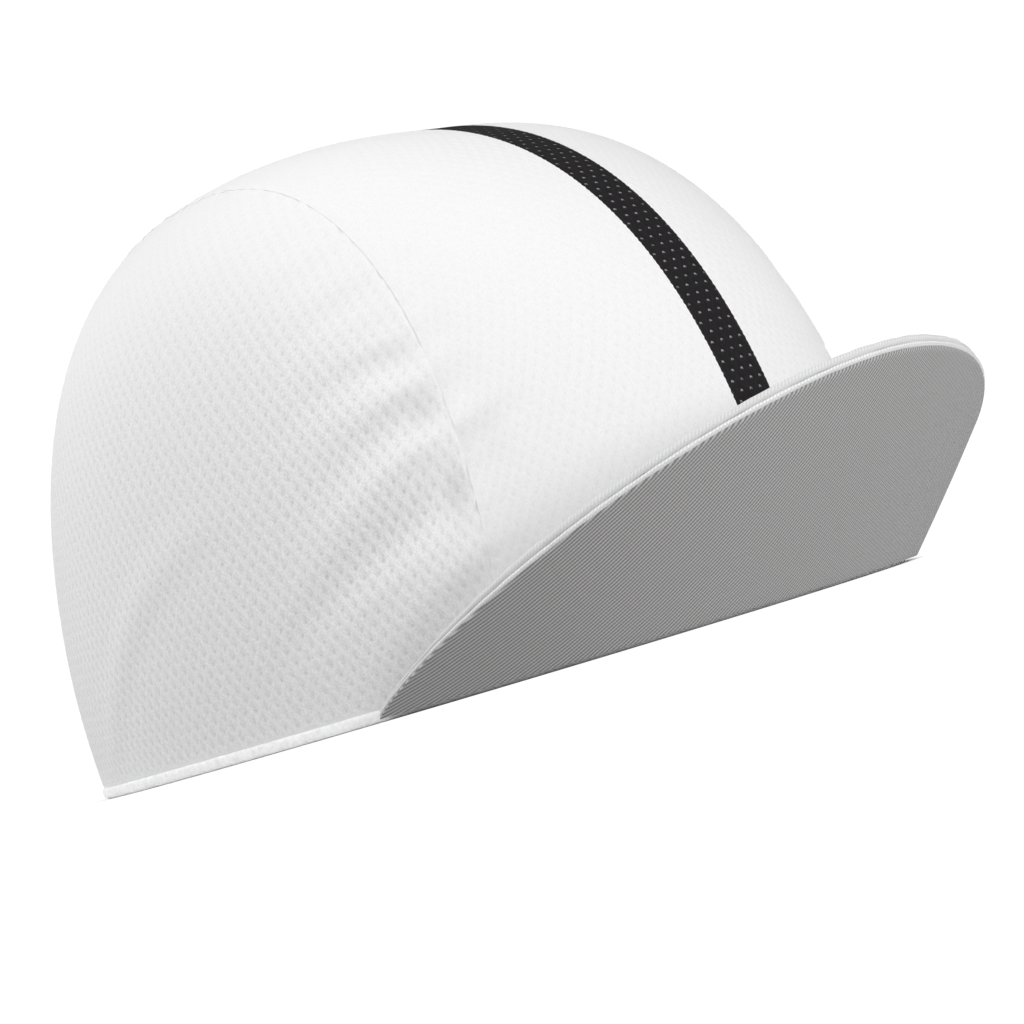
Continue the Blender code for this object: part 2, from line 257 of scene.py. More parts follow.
def bump(offset):
    return np.where(np.abs(offset) < 1, np.cos(offset * math.pi / 2) ** 2, 0.0)


def mix(first, second, share):
    return first + (second - first) * share


def unit(vectors):
    return vectors / np.linalg.norm(vectors, axis=-1, keepdims=True)


def full_turn(count):
    return np.linspace(0, 2 * math.pi, count, endpoint=False)


def path_lengths(points):
    """Length along a line of points up to each of them."""
    return np.concatenate([[0], np.cumsum(np.linalg.norm(np.diff(points, axis=0), axis=1))])


# The plain dome, in crown coordinates: its middle is above the middle of the rim

def dome_value(points):
    x, y, z = points[..., 0], points[..., 1], points[..., 2]
    along = np.abs(y) / HALF_LENGTH
    reach = np.maximum(np.hypot(along, np.abs(x) / BELLY_HALF_WIDTH), SLOPE_STEP)
    lengthways = along / reach
    end_fullness = np.where(y < 0, FRONT_FULLNESS, BACK_FULLNESS)
    fullness = mix(SIDE_FULLNESS, end_fullness, lengthways ** 2)
    backward = 0.5 + np.copysign(lengthways, y) / 2
    top_fullness = mix(FRONT_TOP_FULLNESS, BACK_TOP_FULLNESS, backward)
    return reach ** fullness + (np.maximum(z, 0) / DOME_HEIGHT) ** top_fullness


def find_edge(point_at, shape):
    """Length, for each point of the shape, at which point_at(length) lies on the dome."""
    low = np.zeros(shape)
    high = np.full(shape, FAR_OUT)
    for _ in range(HALVINGS):
        middle = (low + high) / 2
        inside = dome_value(point_at(middle)) < 1
        low = np.where(inside, middle, low)
        high = np.where(inside, high, middle)
    return low


def on_dome(direction):
    ray = unit(direction)
    length = find_edge(lambda reach: ray * reach[..., None], ray.shape[:-1])
    return ray * length[..., None]


def dome_normal(points):
    slope = np.empty_like(points)
    for axis in range(3):
        step = np.zeros(3)
        step[axis] = SLOPE_STEP
        slope[..., axis] = dome_value(points + step) - dome_value(points - step)
    slope[..., 2] = np.where(points[..., 2] < 10 * SLOPE_STEP, 0, slope[..., 2])
    return unit(slope)


def placed(points, outward):
    """Dome points moved outward, tucked in at the sides, set above the hem and in world place."""
    moved = points + dome_normal(points) * outward[..., None]
    tuck = np.maximum(0, 1 - points[..., 2] / TUCK_HEIGHT) ** 2 * SIDE_TUCK / BELLY_HALF_WIDTH
    moved[..., 0] *= 1 - tuck
    moved[..., 1] += MIDDLE_Y
    moved[..., 2] += DOME_BASE
    return moved


def seam_offset(y, z):
    at_rim = (PANEL_FRONT_WIDTH + PANEL_BACK_WIDTH) / 4
    lean = (PANEL_BACK_WIDTH - PANEL_FRONT_WIDTH) / 4 / HALF_LENGTH
    return at_rim + lean * y + (PANEL_TOP_WIDTH / 2 - at_rim) * z / DOME_HEIGHT


def arch_points(along, offset_at):
    """Dome points on the arches that run front to back at sideways offsets."""
    angle = math.pi * along

    def corner(length):
        y = -length * np.cos(angle)
        z = length * np.maximum(0, np.sin(angle))
        return np.stack([offset_at(y, z), y, z], axis=-1)

    return corner(find_edge(corner, along.shape))


# Knit

def wander(u, v, waves):
    return sum(share * np.sin(u / length_u + v / length_v) for share, length_u, length_v in waves)


def knit_steps(u, v, row_spacing):
    """Cloth coordinates in steps of one pit and one row, with the rows wandering a little."""
    steps_u = (u + KNIT_WANDER * wander(u, v, WANDER_IN_U)) / PIT_SPACING
    steps_v = (v + KNIT_WANDER * wander(u, v, WANDER_IN_V)) / row_spacing
    return np.stack([steps_u, steps_v], axis=-1)


def knit_relief(knit):
    """Dimples, deepest in the middle of each pit; knit has two coordinates in steps."""
    cell = np.cos(2 * math.pi * knit[..., 0]) * np.cos(math.pi * knit[..., 1])
    return -PIT_RELIEF * ((1 + cell) / 2) ** PIT_SHARPNESS


def painted_pit_shade(normals, strongest):
    """Strength of the painted shade in pits and hollows: less on parts that face up, where light
    reaches in.
    """
    upward = smooth((normals[..., 2] - UPWARD_PIT_START) / UPWARD_PIT_RANGE)
    return strongest * mix(1.0, UPWARD_PIT_SHARE, upward)


# Meshes

def quads(index):
    corners = (index[:-1, :-1], index[:-1, 1:], index[1:, 1:], index[1:, :-1])
    return np.stack(corners, axis=-1).reshape(-1, 4)


def fine_grid_faces(first, rows, columns, closed):
    index = first + np.arange(rows * columns).reshape(rows, columns)
    if closed:
        index = np.hstack([index, index[:, :1]])
    return index, quads(index)


def border_faces(fine, coarse, reverse):
    """One face for each coarse step between a fine border and a coarse one."""
    faces = []
    step = (len(fine) - 1) // (len(coarse) - 1)
    for cell in range(len(coarse) - 1):
        edge = [int(i) for i in fine[cell * step:(cell + 1) * step + 1]]
        face = edge + [int(coarse[cell + 1]), int(coarse[cell])]
        faces.append(face[::-1] if reverse else face)
    return faces


def add_shell(name, outer, inner, cloth, inner_cloth, material, closed=False):
    """Closed piece between a fine outer grid and an inner grid with one point for each COARSE."""
    rows, columns = outer.shape[:2]
    inner_rows, inner_columns = inner.shape[:2]
    outer_index, outer_faces = fine_grid_faces(0, rows, columns, closed)
    start = rows * columns
    inner_index, inner_faces = fine_grid_faces(start, inner_rows, inner_columns, closed)
    faces = outer_faces.tolist() + inner_faces[:, ::-1].tolist()
    faces += border_faces(outer_index[0], inner_index[0], True)
    faces += border_faces(outer_index[-1], inner_index[-1], False)
    if not closed:
        faces += border_faces(outer_index[:, 0], inner_index[:, 0], False)
        faces += border_faces(outer_index[:, -1], inner_index[:, -1], True)
    points = np.concatenate([outer.reshape(-1, 3), inner.reshape(-1, 3)])
    cloth = np.concatenate([cloth.reshape(-1, 3), inner_cloth.reshape(-1, 3)])
    return add_piece(name, points, faces, cloth, material, [name])


def add_object(name, data):
    added = bpy.data.objects.new(name, data)
    bpy.context.collection.objects.link(added)
    return added


def add_piece(name, points, faces, cloth, material, replaces=()):
    """Mesh object that rides on the cap and holds cloth coordinates on its points."""
    mesh = bpy.data.meshes.new(name)
    mesh.from_pydata(points.reshape(-1, 3).tolist(), [], faces)
    layer = mesh.attributes.new("cloth", "FLOAT_VECTOR", "POINT")
    layer.data.foreach_set("vector", cloth.astype(np.float32).ravel())
    shape = bmesh.new()
    shape.from_mesh(mesh)
    bmesh.ops.remove_doubles(shape, verts=shape.verts, dist=MERGE)
    if shape.calc_volume(signed=True) < 0:
        bmesh.ops.reverse_faces(shape, faces=shape.faces)
    shape.to_mesh(mesh)
    shape.free()
    mesh.shade_smooth()
    mesh.set_sharp_from_angle(angle=SHARP_ANGLE)
    mesh.materials.append(material)
    piece = add_object(name, mesh)
    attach(piece, "root")
    if replaces:
        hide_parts(*replaces)
    return piece


# Crown

def side_relief(along, down, height):
    """Gathers and folds of a side panel."""
    total = np.zeros_like(along)
    for seam, drift, curve, wide_at_seam, wide_at_rim, starts, ends, share in SIDE_FOLDS:
        middle = seam + drift * down ** curve
        width = mix(wide_at_seam, wide_at_rim, down)
        at_seam = 0 if starts else FOLD_SHARE_AT_SEAM
        fade_in = mix(at_seam, 1, smooth((down - starts) / FOLD_START_LENGTH))
        fade_out = 1 - smooth((down - starts) / (ends - starts))
        total += share * FOLD_DEPTH * bump((along - middle) / width) * fade_in * fade_out
    return total * smooth(height / RIM_FADE)


def puckers(length_along, from_seam):
    """Small gathers along the seam, uneven in spacing and height."""
    turn = 2 * math.pi * length_along / PUCKER_SPACING
    main_wave = np.sin(turn + PUCKER_DRIFT * np.sin(turn * PUCKER_DRIFT_TURNS))
    wave = main_wave + PUCKER_SECOND * np.sin(turn * PUCKER_SECOND_TURNS + 2)
    uneven = 1 - PUCKER_UNEVEN + PUCKER_UNEVEN * np.sin(length_along / PUCKER_UNEVEN_LENGTH + 1)
    return PUCKER_HEIGHT * wave * uneven * np.exp(-from_seam / PUCKER_LENGTH * 2)


def side_cloth_steps(points):
    """Rows parallel to the rim; the coordinate along a row is the length of the contour there."""
    x, y, z = points[..., 0], points[..., 1], points[..., 2]
    reach = np.hypot(y / HALF_LENGTH, x / BELLY_HALF_WIDTH)
    angles = np.linspace(-math.pi / 2, math.pi / 2, CONTOUR_POINTS)
    rim = np.stack([BELLY_HALF_WIDTH * np.cos(angles), HALF_LENGTH * np.sin(angles)], axis=-1)
    lengths = path_lengths(rim)
    lengths -= lengths[len(lengths) // 2]
    angle = np.arctan2(y / HALF_LENGTH, x / BELLY_HALF_WIDTH)
    along_row = reach * np.interp(angle, angles, lengths)
    tilts = np.linspace(0, math.pi / 2, CONTOUR_POINTS)
    side = on_dome(np.stack([np.cos(tilts), 0 * tilts, np.sin(tilts)], axis=-1))
    heights = path_lengths(side)
    return knit_steps(along_row, np.interp(z, side[:, 2], heights), SIDE_ROW_SPACING)


def side_points():
    """Dome points of a side panel and their places along the seam and down to the rim."""
    shares = np.linspace(0, 1, SIDE_COLUMNS + 1) ** SIDE_COLUMN_CROWDING
    seam = arch_points(shares, lambda y, z: seam_offset(y, z) + SEAM_GAP / 2)
    angle = mix(math.asin(seam[0, 1] / HALF_LENGTH), math.asin(seam[-1, 1] / HALF_LENGTH), shares)
    rim = np.stack([BELLY_HALF_WIDTH * np.cos(angle), HALF_LENGTH * np.sin(angle),
                    np.zeros_like(angle)], axis=-1)
    rows = np.linspace(0, 1, SIDE_ROWS + 1)
    points = on_dome(mix(seam[None], rim[None], rows[:, None, None]))
    along, down = np.meshgrid(shares, rows)
    return points, along, down


def add_side_panel(name, side, material):
    """side is 1 for the wearer's left and -1 for the right."""
    points, along, down = side_points()
    steps = np.linalg.norm(np.diff(points, axis=0), axis=-1)
    from_seam = np.concatenate([np.zeros((1, points.shape[1])), np.cumsum(steps, axis=0)])
    to_rim = from_seam[-1] - from_seam
    length_along = path_lengths(points[0])
    steps = side_cloth_steps(points)
    edge_fade = smooth(from_seam / PIT_EDGE_FADE) * smooth(to_rim / PIT_EDGE_FADE)
    relief = side_relief(along, down, points[..., 2])
    relief += puckers(length_along[None] + side * PUCKER_SIDE_SHIFT, from_seam)
    relief -= SIDE_SEAM_DIP * np.maximum(0, 1 - from_seam / SIDE_SEAM_DIP_LENGTH) ** 2
    relief -= RIM_TURN * np.maximum(0, 1 - to_rim / RIM_TURN_LENGTH) ** 2
    inner = placed(points, relief - CLOTH)[::COARSE, ::COARSE]
    outer = placed(points, relief + knit_relief(steps) * edge_fade)
    # Third cloth coordinate: strength of the painted shade in the pits and hollows
    strongest = mix(SEAM_PIT_SHARE, 1.0, smooth(from_seam / SEAM_PIT_REACH))
    depth = painted_pit_shade(dome_normal(points), strongest) * edge_fade
    cloth = np.concatenate([steps, depth[..., None]], axis=-1)
    for grid in (outer, inner):
        grid[..., 0] *= side
    return add_shell(name, outer, inner, cloth, cloth[::COARSE, ::COARSE], material)


def centre_relief(along, across, height, length_along, from_seam):
    """Creases, folds that reach over the seam, and the edge that stands over the side panel."""
    past_seam = smooth(1 - from_seam / FOLD_REACH_PAST_SEAM)
    total = side_relief(along, np.zeros_like(along), height) * past_seam
    for place, reach, half_width, share in CENTRE_CREASES:
        fade = smooth((np.abs(across) - (1 - reach)) / reach)
        total += share * FOLD_DEPTH * bump((along - place) / half_width) * fade
    rise = smooth((along - LAP_RISE_START) / LAP_RISE_LENGTH)
    proud = mix(LAP_PROUD, LAP_PROUD_BACK, rise)
    total += proud * bump(from_seam / LAP_PROUD_LENGTH)
    total -= LAP_DROP * np.maximum(0, 1 - from_seam / LAP_ROUND) ** 2
    return total + CENTRE_PUCKER_SHARE * puckers(length_along, from_seam)


def centre_grid(shares, inner_edge):
    """Dome points of the centre panel's right or left half: along, then outward to the seam."""
    rows = np.linspace(0, 1, CENTRE_ROWS + 1)
    along, across = np.meshgrid(rows, shares, indexing="ij")
    edge = np.broadcast_to(inner_edge[:, None], along.shape)

    def offset_at(y, z):
        return mix(edge, seam_offset(y, z) - SEAM_GAP / 2, across)

    return arch_points(along, offset_at), along, across


def arch_lengths():
    """Length along the middle of the centre panel at each of its rows."""
    return path_lengths(arch_points(np.linspace(0, 1, CENTRE_ROWS + 1), lambda y, z: 0 * y))


def stripe_edge(lengths, side):
    """Half width of the printed stripe: it ends at whole stitches, so its edge is toothed."""
    turn = 2 * math.pi * lengths / CENTRE_ROW_SPACING
    uneven = 1 - TOOTH_UNEVEN + TOOTH_UNEVEN * np.sin(turn * TOOTH_TURNS + side)
    tooth = np.where(np.arange(len(lengths)) % 2, 1, -1)
    return STRIPE_WIDTH / 2 + STRIPE_TOOTH * tooth * uneven


def cloth_across(points, start):
    steps = np.linalg.norm(np.diff(points, axis=1), axis=-1)
    first = start[:, None]
    return np.concatenate([first, first + np.cumsum(steps, axis=1)], axis=1)


def centre_half(side, lengths):
    """Outer grid, inner grid and cloth coordinates of one half, from the stripe to the seam."""
    shares = np.linspace(0, 1, CENTRE_HALF_COLUMNS + 1)
    edge = stripe_edge(lengths, side)
    points, along, across = centre_grid(shares, edge)
    u = cloth_across(points, edge)
    from_seam = u[:, -1:] - u
    to_rim = np.minimum(lengths, lengths[-1] - lengths)[:, None]
    steps = knit_steps(u * side, np.broadcast_to(lengths[:, None], u.shape), CENTRE_ROW_SPACING)
    edge_fade = smooth(from_seam / PIT_EDGE_FADE) * smooth(to_rim / PIT_EDGE_FADE)
    edge_fade = edge_fade * smooth((u - edge[:, None]) / PIT_EDGE_FADE)
    relief = centre_relief(along, across, points[..., 2], lengths[:, None], from_seam)
    outer = placed(points, relief + knit_relief(steps) * edge_fade)
    inner = placed(points, relief - CLOTH)
    # Third cloth coordinate: strength of the painted shade in the pits and hollows
    depth = painted_pit_shade(dome_normal(points), CENTRE_PIT_SHARE) * edge_fade
    cloth = np.concatenate([steps, depth[..., None]], axis=-1)
    for grid in (outer, inner):
        grid[..., 0] *= side
    return outer, inner, cloth


def add_centre_panel(material):
    """One cloth from seam to seam, with a shallow groove that the stripe fills."""
    lengths = arch_lengths()
    rows = np.linspace(0, 1, CENTRE_ROWS + 1)
    left_outer, left_inner, left_cloth = centre_half(1, lengths)
    right_outer, right_inner, right_cloth = centre_half(-1, lengths)
    depth = np.full(rows.shape, -STRIPE_THICKNESS - GAP)
    floor = []
    for side in (-1, 0, 1):
        edge = side * stripe_edge(lengths, side) if side else 0 * lengths
        floor.append(placed(arch_points(rows, lambda y, z: edge), depth))
    floor = np.stack(floor, axis=1)
    outer = np.concatenate([right_outer[:, ::-1], floor, left_outer], axis=1)
    gap_cloth = np.zeros(floor.shape)
    cloth = np.concatenate([right_cloth[:, ::-1], gap_cloth, left_cloth], axis=1)
    inner, inner_cloth = [
        np.concatenate([right[:, ::-COARSE], left[:, ::COARSE]], axis=1)[::COARSE]
        for right, left in ((right_inner, left_inner), (right_cloth, left_cloth))]
    return add_shell("centre_panel", outer, inner, cloth, inner_cloth, material)


def add_stripe(material):
    """Printed stripe, flush with the centre panel, in the same knit."""
    lengths = arch_lengths()
    rows = np.linspace(0, 1, CENTRE_ROWS + 1)
    right, left = -stripe_edge(lengths, -1), stripe_edge(lengths, 1)
    along, across = np.meshgrid(rows, np.linspace(0, 1, STRIPE_COLUMNS + 1), indexing="ij")
    offset = mix(right[:, None], left[:, None], across)
    points = arch_points(along, lambda y, z: offset)
    steps = knit_steps(offset, np.broadcast_to(lengths[:, None], offset.shape), CENTRE_ROW_SPACING)
    to_rim = np.minimum(lengths, lengths[-1] - lengths)[:, None]
    to_edge = np.minimum(offset - right[:, None], left[:, None] - offset)
    edge_fade = smooth(to_rim / PIT_EDGE_FADE) * smooth(to_edge / PIT_EDGE_FADE)
    outer = placed(points, knit_relief(steps) * edge_fade)
    inner = placed(points, np.full(along.shape, -STRIPE_THICKNESS))[::COARSE, ::COARSE]
    cloth = np.concatenate([steps, edge_fade[..., None]], axis=-1)
    return add_shell("centre_stripe", outer, inner, cloth, cloth[::COARSE, ::COARSE],
                     material)


# Rim

def rim_outline(angle, outward):
    """Points of the rim in world place, moved outward; angle 0 is the front."""
    angle, outward = np.broadcast_arrays(angle, outward)
    zero = np.zeros(angle.shape)
    middle = np.stack([RIM_HALF_WIDTH * np.sin(angle), -HALF_LENGTH * np.cos(angle), zero], axis=-1)
    normal = np.stack([HALF_LENGTH * np.sin(angle), -RIM_HALF_WIDTH * np.cos(angle), zero], axis=-1)
    points = middle + unit(normal) * outward[..., None]
    points[..., 1] += MIDDLE_Y
    return points


def rim_lengths(angles):
    return path_lengths(rim_outline(angles, 0.0))


def add_rim_hem(material):
    """Turned and rolled cloth edge, uneven where the stitching pulls it, flat where it rests."""
    inside = -(CLOTH + GAP + BAND_THICKNESS + HEM_PROUD)
    half_width = (HEM_PROUD - inside) / 2
    middle_out = (HEM_PROUD + inside) / 2
    top = DOME_BASE + HEM_OVERLAP
    section = full_turn(HEM_SIDES)
    round_out = np.sign(np.cos(section)) * np.abs(np.cos(section)) ** HEM_ROUNDING
    round_up = np.sign(np.sin(section)) * np.abs(np.sin(section)) ** HEM_ROUNDING
    angles = full_turn(HEM_COLUMNS)
    lengths = rim_lengths(angles)
    second_wave = HEM_SECOND_PULL * np.sin(lengths / HEM_SECOND_LENGTH + 1)
    wave = np.sin(lengths / HEM_PULL_LENGTH) + second_wave
    uneven = 1 - HEM_UNEVEN + HEM_UNEVEN * np.sin(lengths / HEM_UNEVEN_LENGTH)
    pull = HEM_PULL * wave * uneven
    outward = middle_out + half_width * round_out[:, None] + pull * (round_out[:, None] > 0)
    points = rim_outline(np.broadcast_to(angles, outward.shape), outward)
    heights = np.maximum(0, top / 2 + top / 2 * round_up)
    points[..., 2] = heights[:, None]
    rows, columns = points.shape[:2]
    index, _ = fine_grid_faces(0, rows, columns, True)
    faces = quads(np.vstack([index, index[:1]])).tolist()
    cloth = np.stack([np.broadcast_to(lengths / MM, (rows, columns)),
                      np.broadcast_to(section[:, None] * half_width / MM, (rows, columns)),
                      np.zeros((rows, columns))], axis=-1)
    return add_piece("rim_hem", points, faces, cloth, material, ["rim_hem"])


def add_hem_stitches(material):
    """Stitch line that holds the turned edge, seen on the inside of the sweatband."""
    count = round(rim_lengths(np.linspace(0, 2 * math.pi, HEM_COLUMNS))[-1] / STITCH_PITCH)
    middles = full_turn(count)
    half_turn = math.pi / count * STITCH_SHARE
    shares = np.linspace(-1, 1, STITCH_POINTS)
    sections = full_turn(STITCH_SIDES)
    lift = STITCH_RADIUS * (1 - shares ** 2)
    radius = STITCH_RADIUS * np.sqrt(np.maximum(STITCH_TIP, 1 - np.abs(shares) ** 3))
    lean = BAND_LEAN * STITCH_HEIGHT / BAND_HEIGHT
    inside = -(CLOTH + GAP + BAND_THICKNESS + lean)
    all_points = []
    all_faces = []
    for middle in middles:
        angle = middle + half_turn * shares[:, None] + 0 * sections
        outward = inside - lift[:, None] + radius[:, None] * np.cos(sections)
        points = rim_outline(angle, outward)
        points[..., 2] = DOME_BASE + STITCH_HEIGHT + radius[:, None] * np.sin(sections)
        first = len(all_points) * len(shares) * len(sections)
        index, faces = fine_grid_faces(first, len(shares), len(sections), True)
        all_points.append(points.reshape(-1, 3))
        all_faces += faces.tolist() + [index[0, :-1].tolist()[::-1], index[-1, :-1].tolist()]
    points = np.concatenate(all_points)
    return add_piece("hem_stitches", points, all_faces, points / MM, material)


def add_sweatband(material):
    """Jersey band inside the rim; its free top edge is slightly wavy."""
    angles = full_turn(BAND_COLUMNS)
    plan = unit(np.stack([np.sin(angles) * BELLY_HALF_WIDTH, -np.cos(angles) * HALF_LENGTH,
                          np.zeros(BAND_COLUMNS)], axis=-1))
    shares = np.linspace(0, 1, BAND_ROWS + 1)
    height = np.broadcast_to(BAND_HEIGHT * shares[:, None], (BAND_ROWS + 1, BAND_COLUMNS))

    def ring(length):
        points = plan * length[..., None]
        points[..., 2] = height
        return points

    points = ring(find_edge(ring, height.shape))
    wave = BAND_WAVE * np.sin(BAND_WAVES * angles) * shares[:, None] ** 2
    lean = -(CLOTH + GAP + BAND_LEAN * shares[:, None]) + wave
    skins = []
    for thickness in (0.0, BAND_THICKNESS):
        skin = placed(points, np.broadcast_to(lean - thickness, height.shape))
        skin[..., 2] = DOME_BASE + height
        skins.append(skin)
    outer, inner = skins
    outer = outer[::COARSE, ::COARSE]
    lengths = rim_lengths(angles)
    cloth = np.stack([np.broadcast_to(lengths / MM, height.shape), height / MM,
                      np.zeros(height.shape)], axis=-1)
    return add_shell("sweatband", inner, outer, cloth, cloth[::COARSE, ::COARSE], material,
                     closed=True)


# Peak

def peak_lift(angle_share):
    return mix(PEAK_LIFT_MIDDLE, PEAK_LIFT_CORNER, angle_share ** 2)


def peak_root(angle_share):
    """Points where the peak's middle sheet leaves the rim, and its direction there."""
    angle = angle_share * PEAK_HALF_ANGLE
    lift = peak_lift(angle_share)
    top_reach = (TOP_THICKNESS + GAP / 2) * np.sin(lift)
    root = rim_outline(angle, HEM_PROUD + GAP + top_reach)
    root[..., 2] = PEAK_FLOOR_CLEARANCE + (UNDERSIDE_THICKNESS + GAP / 2) * np.cos(lift)
    straight_out = rim_outline(angle, 1.0) - rim_outline(angle, 0.0)
    outward = unit(mix(straight_out, np.array([0, -1, 0]), PEAK_FORWARD_SHARE))
    rise = np.zeros(outward.shape)
    rise[..., 2] = np.sin(lift)
    return root, outward * np.cos(lift)[..., None] + rise


def peak_depth(angle_share):
    shares = np.minimum(1, np.abs(angle_share))
    return PEAK_DEPTH * (1 - shares ** PEAK_OUTLINE_POWER) ** PEAK_OUTLINE_ROUNDING


def peak_sheet(angle_share, depth_share):
    """Points of the peak's middle sheet, from its root on the rim to its edge."""
    root, direction = peak_root(angle_share)
    return root + direction * (peak_depth(angle_share) * depth_share)[..., None]


def peak_normal(angle_share, depth_share):
    """Unit vectors from the underside to the top cover."""
    share = np.clip(angle_share, -PEAK_CORNER_LIMIT, PEAK_CORNER_LIMIT)
    depth_share = np.maximum(PEAK_ROOT_LIMIT, depth_share)
    one_side = peak_sheet(share - PEAK_STEP, depth_share)
    sideways = peak_sheet(share + PEAK_STEP, depth_share) - one_side
    out = peak_sheet(share, depth_share) - peak_sheet(share, 0 * depth_share)
    normal = unit(np.cross(sideways, out))
    return np.where(normal[..., 2:] > 0, normal, -normal)


def peak_shares():
    """Shares across and along the peak, closer together at its corners and near its edge."""
    across = np.sin(math.pi / 2 * np.linspace(-1, 1, PEAK_COLUMNS + 1))
    along = 1 - (1 - np.linspace(0, 1, PEAK_ROWS + 1)) ** PEAK_ROW_CROWDING
    return np.meshgrid(across, along)


def peak_cloth(across, along):
    """Places in millimetres on the flat cloth: sideways, and outward from the rim's front.

    Within its own plane the cloth bends as the rim does in plan, less what the lift takes up.
    """
    shares = np.linspace(-1, 1, PEAK_COLUMNS + 1)
    middle = PEAK_COLUMNS // 2
    root, direction = peak_root(shares)
    steps = np.gradient(root, axis=0)
    heading = np.arctan2(steps[:, 1], steps[:, 0])
    bend = np.cumsum(np.gradient(heading) * np.cos(peak_lift(shares)))
    bend -= bend[middle]
    lengths = np.linalg.norm(steps, axis=1)
    root_u = np.cumsum(np.cos(bend) * lengths)
    root_w = np.cumsum(-np.sin(bend) * lengths)
    slant = np.sum(direction * unit(steps), axis=-1)
    straight = np.sqrt(1 - slant ** 2)
    columns = (root_u - root_u[middle], root_w - root_w[middle],
               slant * np.cos(bend) + straight * np.sin(bend),
               straight * np.cos(bend) - slant * np.sin(bend))
    start_u, start_w, way_u, way_w = [np.interp(across, shares, column) for column in columns]
    reach = peak_depth(across) * along
    return np.stack([start_u + way_u * reach, start_w + way_w * reach, 0 * reach], axis=-1) / MM


def add_peak_cover(name, side, thickness, material):
    """One cover; side is 1 for the top and -1 for the underside."""
    across, along = peak_shares()
    sheet = peak_sheet(across, along)
    normal = peak_normal(across, along) * side
    from_edge = (1 - along) * PEAK_DEPTH
    rounding = np.sqrt(1 - np.maximum(0, 1 - from_edge / thickness) ** 2)
    swell = PEAK_PADDING * np.sin(math.pi * along) * (1 - across ** 2)
    reach = GAP / 2 + thickness * rounding + swell
    outer = sheet + normal * reach[..., None]
    inner = (sheet + normal * GAP / 2)[::COARSE, ::COARSE]
    cloth = peak_cloth(across, along)
    return add_shell(name, outer, inner, cloth, cloth[::COARSE, ::COARSE], material)


def add_tube(name, centres, radius, material):
    """Rolled edge along a line of points, with a radius for each point."""
    tangent = unit(np.gradient(centres, axis=0))
    across = unit(np.cross(tangent, np.array([0, 0, 1.0])))
    over = np.cross(across, tangent)
    turn = full_turn(ROLL_SIDES)
    ring = across[:, None] * np.cos(turn)[:, None] + over[:, None] * np.sin(turn)[:, None]
    points = centres[:, None] + ring * radius[:, None, None]
    rows, columns = points.shape[:2]
    _, faces = fine_grid_faces(0, rows, columns, True)
    faces = faces.tolist()
    faces.append(list(range(columns))[::-1])
    faces.append([(rows - 1) * columns + column for column in range(columns)])
    steps = path_lengths(centres)
    cloth = np.stack([np.broadcast_to(steps[:, None] / MM, (rows, columns)),
                      np.broadcast_to(turn * radius.max() / MM, (rows, columns)),
                      np.zeros((rows, columns))], axis=-1)
    return add_piece(name, points, faces, cloth, material)


def add_peak_roll(name, roll, material):
    """Rolled edge of a cover, slimmer at the corners and rounded off at its ends."""
    over, beyond, radius, corner_share = roll
    shares = np.sin(math.pi / 2 * np.linspace(-1, 1, ROLL_POINTS))
    edge = peak_sheet(shares, np.ones(ROLL_POINTS))
    normal = peak_normal(shares, np.ones(ROLL_POINTS))
    outward = unit(np.cross(unit(np.gradient(edge, axis=0)), normal))
    root = peak_sheet(shares, np.zeros(ROLL_POINTS))
    flip = np.sign(np.sum(outward * (edge - root), axis=-1, keepdims=True))
    flip = np.where(flip == 0, 1, flip)
    outward = np.where(np.abs(shares[:, None]) < ROLL_END_LIMIT, outward * flip, 0)
    lengths = path_lengths(edge)
    from_end = np.minimum(lengths, lengths[-1] - lengths)
    uneven = 1
    for share, length, phase in ROLL_UNEVEN:
        uneven = uneven + share * np.sin(lengths / length + phase)
    taper = np.sqrt(1 - np.maximum(0, 1 - (from_end + ROLL_TIP) / radius) ** 2)
    slim = mix(corner_share, 1.0, smooth(from_end / ROLL_SLIM_LENGTH))
    centres = edge + (normal * over + outward * beyond) * slim[:, None]
    return add_tube(name, centres, radius * uneven * taper * slim, material)


# Materials, with the light colour first. A knit has those of its strands, its hollows and its
# pits, which are bright specks in the black knit. The darker hollows of both knits and the dark
# pits of the white knit are painted shade in their recesses.

WHITE_KNIT = ((0.862,) * 3, (0.815, 0.815, 0.818), (0.735, 0.735, 0.74))
BLACK_KNIT = ((0.009, 0.008, 0.009), (0.007, 0.006, 0.007), (0.34, 0.34, 0.35))
# The band's light grey stands for white jersey in the shade inside the crown: painted shade
BAND_JERSEY = ((0.66,) * 3, (0.58, 0.58, 0.585))
# The hem's white, lighter than the knit's, stands for the light its roll catches: painted light
ROLLED_HEM = ((0.93,) * 3, (0.83, 0.83, 0.835))

# A twill also has the height of its ridges in millimetres
PEAK_COVER = ((0.85,) * 3, (0.70,) * 3, 0.03)
# The top roll's light grey, darker than the white cover it rolls from, is painted shade
PEAK_EDGE = ((0.72,) * 3, (0.62,) * 3, 0.012)
# The underside's greys stand for white twill in the shade under the peak: painted shade
PEAK_TWILL = ((0.468,) * 3, (0.207, 0.202, 0.202), 0.06)
TWILL_ANGLE = math.radians(57)
TWILL_PITCH_MM = 0.66
RIB_PITCH_MM = 0.9
LOOP_PITCH_MM = 0.8
SHEEN_ROUGHNESS = 0.6
SPECULAR_LEVEL = 0.25


